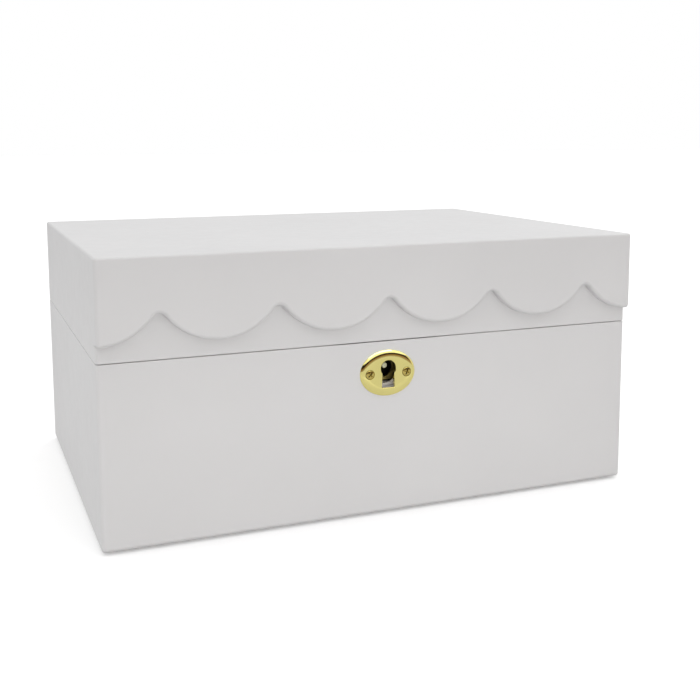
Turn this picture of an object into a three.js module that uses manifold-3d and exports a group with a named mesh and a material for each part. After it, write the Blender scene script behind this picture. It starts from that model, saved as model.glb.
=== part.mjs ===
// A white lacquered jewellery chest with a scalloped lid, a brass box lock and two sliding drawers inside.
// Millimetres, +Z up. The origin is on the table under the middle of the chest. -Y is the front, +X the right.
// Almost every size is a multiple of 0.25 mm, so that faces which touch meet exactly.
import * as THREE from "three";
import { mergeVertices } from "three/addons/utils/BufferGeometryUtils.js";
import Module from "manifold-3d";

const wasm = await Module();
wasm.setup();

// ---------------------------------------------------------------- driving dimensions
const WIDTH = 280;
const DEPTH = 200;
const HEIGHT = 136;
const WALL = 10; // thickness of the chest's walls and of the lid's top
const LID_WALL = 9.5; // the lid's walls, thinner so that they pass outside the lining's lip
const RIM = 88; // height of the chest's rim
const SEAM = 0.5; // gap between the closed lid and the rim
const FELT = 1; // sheet of felt under the base
const BASE = 6; // thickness of the base board
const CARD = 2; // velvet covered lining card in the chest
const LID_CARD = 1.5; // the same in the lid
const LIP = 3; // how far the chest's lining stands above the rim

const HALF_W = WIDTH / 2;
const HALF_D = DEPTH / 2;
const IN_X = HALF_W - WALL; // inner faces of the boards
const IN_Y = HALF_D - WALL;
const CLEAR_X = IN_X - CARD; // inner faces of the lining
const CLEAR_Y = IN_Y - CARD;
const LID_IN_X = HALF_W - LID_WALL; // inner faces of the lid's walls
const LID_IN_Y = HALF_D - LID_WALL;
const LID_Z = RIM + SEAM; // underside of the lid's walls
const LID_TOP_Z = HEIGHT - WALL; // underside of the lid's top board
const FLOOR_Z = FELT + BASE;

// scalloped board on the lid's front
const SCALLOP = { count: 5, low: 96, radius: 31.5, notch: 3.5, thick: 4.4, steps: 10 };

// two stop hinges at the back
const HINGE = {
  x: 85,
  length: 30,
  leaf: 1.25,
  from: 92,
  body: 99.75,
  axisY: 102.25,
  axisZ: RIM + SEAM / 2,
  barrel: 2.15,
  bore: 1.05,
  pin: 0.95,
  knuckle: 10,
  screwX: 9,
  screwY: 96,
};

// lock let into the front board, its key pin and escutcheon
const LOCK = {
  x: 17,
  bottom: 62,
  front: -96.5,
  sheet: 1,
  selvedge: 1.5,
  opening: 7.5,
  openingZ: 73.75,
  pinZ: 75.25,
  pinR: 1.4,
  plateX: 24,
  plateZ: 60,
  screwX: 20.5,
  screwZ: 70,
  slack: 0.25,
};
const ESCUTCHEON = {
  rx: 14.6,
  rz: 11.4,
  z: 72.25,
  thick: 1.5,
  headR: 4,
  headZ: 74.75,
  slotTop: 3.1,
  slotLow: 3.4,
  slotZ: 65,
  screwX: 9.75,
};
const PANEL_HOLE = { x: 7, low: 63.5, high: 80 }; // clearance hole behind the escutcheon
const BOLT = { front: -93.75, thick: 2, left: -15.5, right: 8, low: 67.25, top: 78, fingerTop: 84.5 };
const KEY_BAY = { radius: 5.25, z: 74 }; // the bolt's cutout round the key pin and the key's bit
const LINK = { x: 20, front: -95.5, thick: 1.25, screwX: 15.5, screwY: -92.75 };
const HOOP = { x: 8.5, thick: 2, front: -95, back: -90.5, leg: 0.75, low: 78.5, bar: 1.5, top: 86.5 };

// runners and drawers
const RUNNER = { high: 6, upperZ: 52, upperY: 4, lowerZ: 26, lowerY: 10 };
const UPPER = { x0: -127.5, x1: -1.5, y: 87.5, z0: 58.25, z1: 84.25 };
const LOWER = { x0: 1.5, x1: 127.5, y: 83.5, z0: 32.25, z1: 56.5 };
const TRAY = { wall: 4, base: 3, lining: 1, divider: 3 };
const RING_PAD = { rolls: 6, y0: -83.25, y1: 1.75, rise: 20, sink: 4 };
const MIRROR = { x: 96, y: 62, thick: 2.5, surround: 3 };
const TAB = { wide: 12, thick: 1 };

// ---------------------------------------------------------------- materials
const material = (color, roughness, metalness = 0) =>
  new THREE.MeshStandardMaterial({ color, roughness, metalness });
const lacquer = material(0xe9e8e8, 0.35);
const velvet = material(0xd9b3b0, 0.95);
const felt = material(0xb9b4b0, 1);
const brass = material(0xd9b54a, 0.15, 1);
const nickel = material(0xc9c5c0, 0.3, 1);
const glass = material(0xdfe6ea, 0.03, 1);
const ribbon = material(0xe6c9c4, 0.5);

// ---------------------------------------------------------------- solid helpers
function toSolid(geometry) {
  const plain = geometry.index ? geometry.toNonIndexed() : geometry.clone();
  for (const name of Object.keys(plain.attributes)) {
    if (name !== "position") plain.deleteAttribute(name);
  }
  const merged = mergeVertices(plain, 1e-4);
  return new wasm.Manifold(
    new wasm.Mesh({
      numProp: 3,
      vertProperties: merged.attributes.position.array,
      triVerts: new Uint32Array(merged.index.array),
    }),
  );
}

function toGeometry(solid) {
  const mesh = solid.getMesh();
  const geometry = new THREE.BufferGeometry();
  geometry.setAttribute("position", new THREE.BufferAttribute(mesh.vertProperties, 3));
  geometry.setIndex(new THREE.BufferAttribute(mesh.triVerts, 1));
  geometry.computeVertexNormals();
  return geometry;
}

const cut = (geometry, ...cutters) =>
  toGeometry(cutters.reduce((solid, cutter) => solid.subtract(toSolid(cutter)), toSolid(geometry)));

const join = (...pieces) => toGeometry(pieces.map(toSolid).reduce((all, piece) => all.add(piece)));

// ---------------------------------------------------------------- shape helpers
const block = (x0, x1, y0, y1, z0, z1) =>
  new THREE.BoxGeometry(x1 - x0, y1 - y0, z1 - z0).translate((x0 + x1) / 2, (y0 + y1) / 2, (z0 + z1) / 2);

// A rod along Y from y0 to y1, around the line (x, z).
const rodY = (radius, x, z, y0, y1, sides = 24) =>
  new THREE.CylinderGeometry(radius, radius, y1 - y0, sides).translate(x, (y0 + y1) / 2, z);

// A rod along X from x0 to x1, around the line (y, z).
const rodX = (radius, y, z, x0, x1, sides = 16) =>
  new THREE.CylinderGeometry(radius, radius, x1 - x0, sides).rotateZ(Math.PI / 2).translate((x0 + x1) / 2, y, z);

// A shape drawn in X and Z, given thickness from y0 to y1.
function slab(shape, y0, y1, curveSegments = 12) {
  const geometry = new THREE.ExtrudeGeometry(shape, { depth: y1 - y0, bevelEnabled: false, curveSegments });
  return geometry.rotateX(Math.PI / 2).translate(0, y1, 0);
}

// A shape drawn in Y and Z, given thickness from x0 to x1.
function bar(shape, x0, x1, curveSegments = 12) {
  const geometry = new THREE.ExtrudeGeometry(shape, { depth: x1 - x0, bevelEnabled: false, curveSegments });
  return geometry.rotateY(Math.PI / 2).rotateX(Math.PI / 2).translate(x0, 0, 0);
}

// A countersunk wood screw, head up at the origin, shank down -Z. grow makes the hole that it sits in.
function screwShape({ head, shank, length, sink = 1, rise = 0 }, grow = 0) {
  const points = [
    [0, -length - grow],
    [shank + grow, -length - grow],
    [shank + grow, -sink],
    [head + grow, -0.25],
    [head + grow, 0],
  ];
  if (rise) points.push([head * 0.75, rise * 0.7], [0, rise]);
  else points.push([0, 0]);
  if (grow) points.splice(4, points.length - 4, [head + grow, 1], [0, 1]);
  return new THREE.LatheGeometry(points.map(([r, z]) => new THREE.Vector2(r, z)), 12).rotateX(Math.PI / 2);
}

// The same screw or hole at a place, with its head facing along axis.
function screwAt(size, place, axis, grow = 0) {
  const turn = new THREE.Quaternion().setFromUnitVectors(new THREE.Vector3(0, 0, 1), new THREE.Vector3(...axis));
  return screwShape(size, grow).applyQuaternion(turn).translate(...place);
}

function add(group, name, geometry, finish, position = [0, 0, 0]) {
  const mesh = new THREE.Mesh(geometry, finish);
  mesh.name = name;
  mesh.position.set(...position);
  group.add(mesh);
  return mesh;
}

const SIDES = { left: -1, right: 1 };
const FRONT = [0, -1, 0];
const BACK = [0, 1, 0];
const UP = [0, 0, 1];
const DOWN = [0, 0, -1];
const HOLE_GAP = 0.15;

const HINGE_SCREW = { head: 1.9, shank: 0.8, length: 8 };
const LINK_SCREW = { head: 1.75, shank: 0.7, length: 8 };
const LOCK_SCREW = { head: 1.9, shank: 0.8, length: 6, sink: 0.9, rise: 0.5 };
const ESCUTCHEON_SCREW = { head: 2.2, shank: 0.8, length: 4, sink: 1.1, rise: 0.5 };

// Where each group of screws sits, as [name, place].
const hingeScrewPlaces = (z) =>
  Object.entries(SIDES).flatMap(([side, s]) =>
    [-1, 1].map((t, i) => [`${side}_${i + 1}`, [s * HINGE.x + t * HINGE.screwX, HINGE.screwY, z]]),
  );
const pair = (x, y, z) => Object.entries(SIDES).map(([side, s]) => [side, [s * x, y, z]]);
const escutcheonScrews = pair(ESCUTCHEON.screwX, -HALF_D - ESCUTCHEON.thick, ESCUTCHEON.z);
const lockScrews = pair(LOCK.screwX, -IN_Y + LOCK.sheet, LOCK.screwZ);
const linkScrews = pair(LINK.screwX, LINK.screwY, LID_Z);

const holes = (size, places, axis) => places.map(([, place]) => screwAt(size, place, axis, HOLE_GAP));

function addScrews(group, prefix, size, places, axis) {
  for (const [label, place] of places) {
    add(group, `${prefix}_${label}`, screwAt(size, [0, 0, 0], axis), brass, place);
  }
}

// ---------------------------------------------------------------- carcass of the chest
// A stadium outline in X and Z, round at both ends.
function stadium(halfX, low, high) {
  const shape = new THREE.Shape();
  shape.moveTo(-halfX, low + halfX);
  shape.absarc(0, low + halfX, halfX, Math.PI, 2 * Math.PI, false);
  shape.absarc(0, high - halfX, halfX, 0, Math.PI, false);
  return shape;
}

// The pocket in the top of a back board for both hinge leaves, from z0 to z1.
const hingePockets = (z0, z1) =>
  Object.values(SIDES).map((s) => {
    const half = HINGE.length / 2 + HOLE_GAP;
    return block(s * HINGE.x - half, s * HINGE.x + half, HINGE.from - HOLE_GAP, HALF_D + 1, z0, z1);
  });

function makeCarcass() {
  const group = new THREE.Group();
  const edge = 4; // how far the felt stops inside the base's edge
  add(group, "base_felt", block(-HALF_W + edge, HALF_W - edge, -HALF_D + edge, HALF_D - edge, 0, FELT), felt);
  add(group, "bottom_panel", block(-IN_X, IN_X, -IN_Y, IN_Y, FELT, FLOOR_Z), lacquer);

  const mortiseX = LOCK.x + LOCK.slack;
  const mortiseY = LOCK.front - LOCK.slack;
  const front = cut(
    block(-HALF_W, HALF_W, -HALF_D, -IN_Y, FELT, RIM),
    block(-mortiseX, mortiseX, mortiseY, -IN_Y + 1, LOCK.bottom - LOCK.slack, RIM + 1),
    slab(stadium(PANEL_HOLE.x, PANEL_HOLE.low, PANEL_HOLE.high), -HALF_D - 1, mortiseY + 1, 8),
    ...holes(ESCUTCHEON_SCREW, escutcheonScrews, FRONT),
    ...holes(LOCK_SCREW, lockScrews, BACK),
  );
  add(group, "front_panel", front, lacquer);

  const back = cut(
    block(-HALF_W, HALF_W, IN_Y, HALF_D, FELT, RIM),
    ...hingePockets(RIM - HINGE.leaf, RIM + 1),
    ...holes(HINGE_SCREW, hingeScrewPlaces(RIM), UP),
  );
  add(group, "back_panel", back, lacquer);
  for (const [side, s] of Object.entries(SIDES)) {
    const x = s * (HALF_W - WALL / 2);
    add(group, `${side}_panel`, block(-WALL / 2, WALL / 2, -IN_Y, IN_Y, FELT, RIM), lacquer, [x, 0, 0]);
  }
  return group;
}

// ---------------------------------------------------------------- velvet lining and runners
function makeLining() {
  const group = new THREE.Group();
  const lipZ = RIM + LIP;
  add(group, "floor_lining", block(-CLEAR_X, CLEAR_X, -CLEAR_Y, CLEAR_Y, FLOOR_Z, FLOOR_Z + CARD), velvet);
  for (const [side, s] of Object.entries(SIDES)) {
    const x = s * (IN_X - CARD / 2);
    add(group, `${side}_lining`, block(-CARD / 2, CARD / 2, -IN_Y, IN_Y, FLOOR_Z, lipZ), velvet, [x, 0, 0]);
  }
  const window = LOCK.plateX + 0.5;
  const front = cut(
    block(-CLEAR_X, CLEAR_X, -IN_Y, -CLEAR_Y, FLOOR_Z, lipZ),
    block(-window, window, -IN_Y - 1, -CLEAR_Y + 1, LOCK.plateZ - 0.5, lipZ + 1),
  );
  add(group, "front_lining", front, velvet);
  add(group, "back_lining", block(-CLEAR_X, CLEAR_X, CLEAR_Y, IN_Y, FLOOR_Z, lipZ), velvet);
  return group;
}

function makeRunners() {
  const group = new THREE.Group();
  for (const [level, z, wide] of [
    ["upper", RUNNER.upperZ, RUNNER.upperY],
    ["lower", RUNNER.lowerZ, RUNNER.lowerY],
  ]) {
    const front = block(-CLEAR_X, CLEAR_X, -CLEAR_Y, -CLEAR_Y + wide, z, z + RUNNER.high);
    const back = block(-CLEAR_X, CLEAR_X, CLEAR_Y - wide, CLEAR_Y, z, z + RUNNER.high);
    add(group, `${level}_runner_front`, front, lacquer);
    add(group, `${level}_runner_back`, back, lacquer);
  }
  return group;
}

// ---------------------------------------------------------------- lock
// The keyhole: a round head over a slot that widens a little downwards.
function keyhole() {
  const { headR, headZ, slotTop, slotLow, slotZ } = ESCUTCHEON;
  const start = Math.asin(slotTop / headR);
  const path = new THREE.Path();
  path.moveTo(-slotLow, slotZ);
  path.lineTo(slotLow, slotZ);
  path.absarc(0, headZ, headR, start - Math.PI / 2, 1.5 * Math.PI - start, false);
  path.closePath();
  return path;
}

function makeLock() {
  const group = new THREE.Group();
  const { x, bottom, front, sheet, selvedge, pinZ, plateX, plateZ } = LOCK;

  const plate = new THREE.Shape();
  plate.absellipse(0, ESCUTCHEON.z, ESCUTCHEON.rx, ESCUTCHEON.rz, 0, 2 * Math.PI, false, 0);
  plate.holes.push(keyhole());
  const escutcheon = cut(
    slab(plate, -HALF_D - ESCUTCHEON.thick, -HALF_D, 24),
    ...holes(ESCUTCHEON_SCREW, escutcheonScrews, FRONT),
  );
  add(group, "escutcheon", escutcheon, brass);
  addScrews(group, "escutcheon_screw", ESCUTCHEON_SCREW, escutcheonScrews, FRONT);

  const slotX = HOOP.x - 0.5;
  const slots = Object.values(SIDES).map((s) => {
    const near = s * slotX;
    const far = s * (slotX + HOOP.thick + 1);
    return block(Math.min(near, far), Math.max(near, far), front + sheet, -IN_Y + 1, RIM - selvedge - 1, RIM + 1);
  });
  const box = cut(
    block(-x, x, front, -IN_Y, bottom, RIM),
    block(-x + sheet, x - sheet, front + sheet, -IN_Y + 1, bottom + sheet, RIM - selvedge),
    rodY(LOCK.opening, 0, LOCK.openingZ, front - 1, front + sheet + 1, 32),
    ...slots,
  );
  add(group, "lock_case", box, nickel);

  const backPlate = cut(
    block(-plateX, plateX, -IN_Y, -IN_Y + sheet, plateZ, RIM),
    ...holes(LOCK_SCREW, lockScrews, BACK),
  );
  add(group, "lock_back_plate", backPlate, brass);
  addScrews(group, "lock_screw", LOCK_SCREW, lockScrews, BACK);
  add(group, "lock_key_pin", rodY(LOCK.pinR, 0, pinZ, front, -IN_Y, 16), nickel);

  // a leaf spring, bowed up under the bolt from the case's floor
  const leaf = new THREE.Shape();
  const bow = { half: 13, rise: 3.5, thick: 0.5 };
  const floor = bottom + sheet;
  leaf.moveTo(-bow.half, floor);
  leaf.quadraticCurveTo(0, floor + 2 * bow.rise, bow.half, floor);
  leaf.lineTo(bow.half - bow.thick, floor);
  leaf.quadraticCurveTo(0, floor + 2 * (bow.rise - bow.thick), -bow.half + bow.thick, floor);
  leaf.closePath();
  add(group, "lock_spring", slab(leaf, BOLT.front, BOLT.front + BOLT.thick, 8), nickel);
  return group;
}

// The bolt slides to +X. Its two fingers then stand in the link plate's two hoops.
function makeBolt() {
  const back = BOLT.front + BOLT.thick;
  const finger = (stem0, stem1, tip) =>
    join(
      block(stem0, stem1, BOLT.front, back, BOLT.top - 2, BOLT.fingerTop),
      block(stem0, tip, BOLT.front, back, BOLT.fingerTop - 3.5, BOLT.fingerTop),
    );
  const whole = join(
    block(BOLT.left, BOLT.right, BOLT.front, back, BOLT.low, BOLT.top),
    finger(BOLT.left, -14.25, -11.25),
    finger(1.5, 4.75, 7.75),
  );
  const group = new THREE.Group();
  add(group, "lock_bolt", cut(whole, rodY(KEY_BAY.radius, 0, KEY_BAY.z, BOLT.front - 1, back + 1, 28)), brass);
  return group;
}

// ---------------------------------------------------------------- lid
// The lower edge of the scalloped board: arcs that hang between notches, each notch rounded at its top.
function scallopOutline() {
  const { count, low, radius, notch } = SCALLOP;
  const pitch = WIDTH / count;
  const arcZ = low + radius;
  const reach = radius + notch;
  const tilt = Math.asin(pitch / 2 / reach); // where an arc meets the round of the notch
  const notchZ = arcZ - reach * Math.cos(tilt);
  const down = -Math.PI / 2;
  const shape = new THREE.Shape();
  shape.moveTo(-HALF_W, HEIGHT);
  shape.lineTo(-HALF_W, low);
  for (let i = 0; i < count; i += 1) {
    const arcX = -HALF_W + i * pitch;
    const notchX = arcX + pitch / 2;
    shape.absarc(arcX, arcZ, radius, down, down + tilt, false);
    shape.absarc(notchX, notchZ, notch, Math.PI / 2 + tilt, Math.PI / 2 - tilt, true);
    shape.absarc(arcX + pitch, arcZ, radius, down - tilt, down, false);
  }
  shape.lineTo(HALF_W, HEIGHT);
  shape.closePath();
  return shape;
}

function makeLid() {
  const group = new THREE.Group();
  add(group, "lid_top_panel", block(-HALF_W, HALF_W, -HALF_D, HALF_D, LID_TOP_Z, HEIGHT), lacquer);
  const front = cut(
    block(-HALF_W, HALF_W, -HALF_D, -LID_IN_Y, LID_Z, LID_TOP_Z),
    block(-LINK.x - 0.25, LINK.x + 0.25, LINK.front - 0.25, -LID_IN_Y + 1, LID_Z - 1, LID_Z + LINK.thick),
    ...holes(LINK_SCREW, linkScrews, DOWN),
  );
  add(group, "lid_front_panel", front, lacquer);
  const back = cut(
    block(-HALF_W, HALF_W, LID_IN_Y, HALF_D, LID_Z, LID_TOP_Z),
    ...hingePockets(LID_Z - 1, LID_Z + HINGE.leaf),
    ...holes(HINGE_SCREW, hingeScrewPlaces(LID_Z), DOWN),
  );
  add(group, "lid_back_panel", back, lacquer);
  for (const [side, s] of Object.entries(SIDES)) {
    const x = s * (HALF_W - LID_WALL / 2);
    const board = block(-LID_WALL / 2, LID_WALL / 2, -LID_IN_Y, LID_IN_Y, LID_Z, LID_TOP_Z);
    add(group, `lid_${side}_panel`, board, lacquer, [x, 0, 0]);
  }
  add(group, "lid_scallop_board", slab(scallopOutline(), -HALF_D - SCALLOP.thick, -HALF_D, SCALLOP.steps), lacquer);

  const surroundZ = LID_TOP_Z - MIRROR.surround;
  const lining = cut(
    block(-LID_IN_X, LID_IN_X, -LID_IN_Y, LID_IN_Y, RIM + LIP + LID_CARD, surroundZ),
    block(-LID_IN_X + LID_CARD, LID_IN_X - LID_CARD, -LID_IN_Y + LID_CARD, LID_IN_Y - LID_CARD, RIM, HEIGHT),
  );
  add(group, "lid_wall_lining", lining, velvet);
  const surround = cut(
    block(-LID_IN_X, LID_IN_X, -LID_IN_Y, LID_IN_Y, surroundZ, LID_TOP_Z),
    block(-MIRROR.x - 0.25, MIRROR.x + 0.25, -MIRROR.y - 0.25, MIRROR.y + 0.25, RIM, HEIGHT),
  );
  add(group, "mirror_surround", surround, velvet);
  const mirror = block(-MIRROR.x, MIRROR.x, -MIRROR.y, MIRROR.y, LID_TOP_Z - MIRROR.thick, LID_TOP_Z);
  add(group, "mirror", mirror, glass);

  const hoops = Object.values(SIDES).map((s) => {
    const x0 = s < 0 ? -HOOP.x - HOOP.thick : HOOP.x;
    return cut(
      block(x0, x0 + HOOP.thick, HOOP.front, HOOP.back, HOOP.low, LID_Z + LINK.thick),
      block(x0 - 1, x0 + HOOP.thick + 1, HOOP.front + HOOP.leg, HOOP.back - HOOP.leg, HOOP.low + HOOP.bar, HOOP.top),
    );
  });
  const link = cut(
    join(block(-LINK.x, LINK.x, LINK.front, -LID_IN_Y, LID_Z, LID_Z + LINK.thick), ...hoops),
    ...holes(LINK_SCREW, linkScrews, DOWN),
  );
  add(group, "link_plate", link, brass);
  addScrews(group, "link_screw", LINK_SCREW, linkScrews, DOWN);
  return group;
}

// ---------------------------------------------------------------- hinges
// One leaf, around its own hinge's middle: up is 1 for the lid's leaf and -1 for the chest's.
// The chest's leaf carries the two outer knuckles, the lid's leaf the one between them.
function hingeLeaf(up) {
  const { length, leaf, from, body, axisY, axisZ, barrel, bore, knuckle, screwX, screwY } = HINGE;
  const half = length / 2;
  const gap = 0.1;
  const face = up > 0 ? LID_Z : RIM;
  const [z0, z1] = up > 0 ? [face, face + leaf] : [face - leaf, face];
  const spans =
    up > 0
      ? [[-knuckle / 2 + gap, knuckle / 2 - gap]]
      : [
          [-half, -knuckle / 2 - gap],
          [knuckle / 2 + gap, half],
        ];
  const arms = spans.flatMap(([x0, x1]) => [
    block(x0, x1, body - 1, axisY, z0, z1),
    rodX(barrel, axisY, axisZ, x0, x1),
  ]);
  const screws = [-1, 1].map((t) =>
    screwAt(HINGE_SCREW, [t * screwX, screwY, face], up > 0 ? DOWN : UP, HOLE_GAP),
  );
  return cut(
    join(block(-half, half, from, body, z0, z1), ...arms),
    rodX(bore, axisY, axisZ, -half - 1, half + 1),
    ...screws,
  );
}

function addHinges(chest, lid) {
  const reach = HINGE.length / 2 + 0.25;
  for (const [side, s] of Object.entries(SIDES)) {
    const place = [s * HINGE.x, 0, 0];
    add(chest, `hinge_${side}_chest_leaf`, hingeLeaf(-1), brass, place);
    add(lid, `hinge_${side}_lid_leaf`, hingeLeaf(1), brass, place);
    add(chest, `hinge_${side}_pin`, rodX(HINGE.pin, HINGE.axisY, HINGE.axisZ, -reach, reach), brass, place);
  }
  addScrews(chest, "hinge_chest_screw", HINGE_SCREW, hingeScrewPlaces(RIM), UP);
  addScrews(lid, "hinge_lid_screw", HINGE_SCREW, hingeScrewPlaces(LID_Z), DOWN);
}

// ---------------------------------------------------------------- drawers
// An open tray with a lining on its floor, in its own group.
function makeTray(name, size) {
  const group = new THREE.Group();
  const { x0, x1, y, z0, z1 } = size;
  const { wall, base, lining } = TRAY;
  const tray = cut(
    block(x0, x1, -y, y, z0, z1),
    block(x0 + wall, x1 - wall, -y + wall, y - wall, z0 + base, z1 + 1),
  );
  add(group, `${name}_tray`, tray, lacquer);
  const floor = block(x0 + wall, x1 - wall, -y + wall, y - wall, z0 + base, z0 + base + lining);
  add(group, `${name}_lining`, floor, velvet);
  return group;
}

// A foam pad with rolls side by side; rings are pushed into the grooves between them.
function ringPadOutline(z0) {
  const { rolls, y0, y1, rise, sink } = RING_PAD;
  const pitch = (y1 - y0) / rolls;
  const radius = (pitch * pitch) / 8 / sink + sink / 2; // of an arc one pitch wide and sink high
  const spread = Math.asin(pitch / 2 / radius);
  const shape = new THREE.Shape();
  shape.moveTo(y0, z0);
  shape.lineTo(y1, z0);
  for (let i = rolls - 1; i >= 0; i -= 1) {
    const middle = y0 + (i + 0.5) * pitch;
    shape.absarc(middle, z0 + rise - radius, radius, Math.PI / 2 - spread, Math.PI / 2 + spread, false);
  }
  shape.closePath();
  return shape;
}

function makeUpperDrawer() {
  const group = makeTray("upper_drawer", UPPER);
  const { wall, base, lining, divider } = TRAY;
  const left = UPPER.x0 + wall;
  const right = UPPER.x1 - wall;
  const floor = UPPER.z0 + base + lining;
  const top = UPPER.z1 - 2;
  const cross = RING_PAD.y1 + 0.25;
  const middle = (left + right) / 2;
  const walls = join(
    block(left, right, cross, cross + divider, floor, top),
    block(middle - divider / 2, middle + divider / 2, cross + 1, UPPER.y - wall, floor, top),
  );
  add(group, "upper_drawer_divider", walls, lacquer);
  add(group, "ring_pad", bar(ringPadOutline(floor), left + 0.25, right - 0.25, 6), velvet);
  const tab = block(right - TAB.thick, right, 30, 30 + TAB.wide, floor + 8, UPPER.z1 + 6);
  add(group, "upper_drawer_pull", tab, ribbon);
  return group;
}

function makeLowerDrawer() {
  const group = makeTray("lower_drawer", LOWER);
  const { wall, base, lining, divider } = TRAY;
  const left = LOWER.x0 + wall;
  const right = LOWER.x1 - wall;
  const floor = LOWER.z0 + base + lining;
  const top = LOWER.z1 - 2;
  const long = block(left, right, -divider / 2, divider / 2, floor, top);
  add(group, "lower_drawer_divider", long, lacquer);
  const tab = block(left, left + TAB.thick, 30, 30 + TAB.wide, floor + 4, LOWER.z1 + 1);
  add(group, "lower_drawer_pull", tab, ribbon);
  return group;
}

// ---------------------------------------------------------------- the whole chest
const chest = new THREE.Group();
const lid = makeLid();
addHinges(chest, lid);
chest.add(makeCarcass(), makeLining(), makeRunners(), makeLock(), makeBolt(), lid);
chest.add(makeUpperDrawer(), makeLowerDrawer());

export default chest;
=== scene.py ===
"""A white lacquered jewellery chest: scalloped lid, gold lock plate, velvet lining, two sliding drawers."""

import math

import bmesh
import bpy
from mathutils import Matrix, Vector, noise

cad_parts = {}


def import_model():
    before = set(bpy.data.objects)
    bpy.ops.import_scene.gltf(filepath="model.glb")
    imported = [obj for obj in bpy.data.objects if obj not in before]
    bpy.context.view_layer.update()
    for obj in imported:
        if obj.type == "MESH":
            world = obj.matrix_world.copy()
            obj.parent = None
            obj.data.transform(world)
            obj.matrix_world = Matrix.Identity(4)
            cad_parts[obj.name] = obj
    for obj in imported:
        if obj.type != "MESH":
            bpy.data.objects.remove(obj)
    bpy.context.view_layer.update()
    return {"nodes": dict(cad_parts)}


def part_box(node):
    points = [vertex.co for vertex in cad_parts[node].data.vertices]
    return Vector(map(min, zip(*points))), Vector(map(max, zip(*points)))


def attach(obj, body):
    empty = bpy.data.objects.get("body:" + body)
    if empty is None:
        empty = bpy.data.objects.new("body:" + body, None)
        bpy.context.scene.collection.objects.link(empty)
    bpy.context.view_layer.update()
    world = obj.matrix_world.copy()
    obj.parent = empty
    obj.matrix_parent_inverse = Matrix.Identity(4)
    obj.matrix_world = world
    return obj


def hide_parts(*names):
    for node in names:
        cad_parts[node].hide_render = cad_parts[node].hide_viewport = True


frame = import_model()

MM = 0.001  # shapes are worked out in millimetres and stored in metres
SHARP = 0.15  # the radius of a corner that is left sharp
CORNER_STEPS = 6  # steps round the corner of a rectangle
PAST = 1  # how far a cutter reaches past what it cuts
# Linear colours of the materials.
COLOURS = {
    "lacquer": (0.715, 0.71, 0.712),
    "velvet": (0.52, 0.29, 0.27),
    "felt": (0.36, 0.34, 0.32),
    "brass": (0.92, 0.82, 0.31),
    # painted shade: a darker brass for the bolt, which sits in the shade inside the lock
    "shade_dimmed_brass": (0.5, 0.42, 0.17),
    "screw_brass": (0.6, 0.48, 0.14),
    # painted shade: near-black for the lock's back plate, standing in for the shade inside the lock
    "shade_black": (0.03, 0.028, 0.03),
    "nickel": (0.9, 0.87, 0.86),
    "pin_steel": (0.72, 0.72, 0.52),
    "mirror": (0.86, 0.89, 0.9),
    "ribbon": (0.72, 0.45, 0.42),
}


# ---------------------------------------------------------------- the frame's sizes, in millimetres
def node_box(*nodes):
    """The box around CAD nodes as (x0, x1, y0, y1, z0, z1)."""
    corners = [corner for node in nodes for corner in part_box(node)]
    low = [min(c[i] for c in corners) / MM for i in range(3)]
    high = [max(c[i] for c in corners) / MM for i in range(3)]
    return low[0], high[0], low[1], high[1], low[2], high[2]


def grown(box, by):
    """A box grown by the same amount on every side."""
    return tuple(value + (by if i % 2 else -by) for i, value in enumerate(box))


# ---------------------------------------------------------------- outlines and lofts
def fillet(corners, radii, steps=5):
    """A closed outline with each corner rounded to its own radius."""
    outline = []
    for i, (corner, radius) in enumerate(zip(corners, radii)):
        here = Vector(corner)
        if not radius:
            outline.append(here)
            continue
        back = (Vector(corners[i - 1]) - here).normalized()
        ahead = (Vector(corners[(i + 1) % len(corners)]) - here).normalized()
        half = back.angle(ahead) / 2
        centre = here + (back + ahead).normalized() * (radius / math.sin(half))
        start = here + back * (radius / math.tan(half)) - centre
        end = here + ahead * (radius / math.tan(half)) - centre
        sweep = start.angle(end)
        for k in range(steps + 1):
            part = sweep * k / steps
            spoke = start * math.sin(sweep - part) + end * math.sin(part)
            outline.append(centre + spoke / math.sin(sweep))
    return outline


def quarter(steps):
    """Angles from nothing to a right angle."""
    return [math.radians(90 * k / steps) for k in range(steps + 1)]


def around(steps):
    """Angles once round a circle."""
    return [math.tau * k / steps for k in range(steps)]


def rect_loop(box, inset, radius, z):
    """A rounded rectangle, drawn inset from the box's outline, at height z."""
    x0, x1, y0, y1 = box[0] + inset, box[1] - inset, box[2] + inset, box[3] - inset
    r = max(radius - inset, SHARP)
    centres = ((x1 - r, y1 - r), (x0 + r, y1 - r), (x0 + r, y0 + r), (x1 - r, y0 + r))
    loop = []
    for number, (x, y) in enumerate(centres):
        for k in range(CORNER_STEPS + 1):
            angle = math.radians(90 * (number + k / CORNER_STEPS))
            loop.append((x + r * math.cos(angle), y + r * math.sin(angle), z))
    return loop


def loft(loops, ring=False):
    """The skin over a stack of loops of equal length: closed on itself, or capped at both ends."""
    count = len(loops[0])
    points = [point for loop in loops for point in loop]
    faces = []
    for level in range(len(loops) if ring else len(loops) - 1):
        low, high = level * count, (level + 1) % len(loops) * count
        for k in range(count):
            after = (k + 1) % count
            faces.append((low + k, low + after, high + after, high + k))
    if not ring:
        faces += [tuple(range(count)), tuple(range((len(loops) - 1) * count, len(loops) * count))]
    return points, faces


def mesh_of(name, points, faces):
    """A mesh in metres from a skin in millimetres, its faces pointing out."""
    mesh = bpy.data.meshes.new(name)
    mesh.from_pydata([Vector(p) * MM for p in points], [], faces)
    edit = bmesh.new()
    edit.from_mesh(mesh)
    bmesh.ops.remove_doubles(edit, verts=edit.verts, dist=1e-7)
    bmesh.ops.recalc_face_normals(edit, faces=edit.faces)
    edit.to_mesh(mesh)
    edit.free()
    return mesh


def new_object(name, mesh):
    """A new object in the scene."""
    piece = bpy.data.objects.new(name, mesh)
    bpy.context.scene.collection.objects.link(piece)
    return piece


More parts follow.
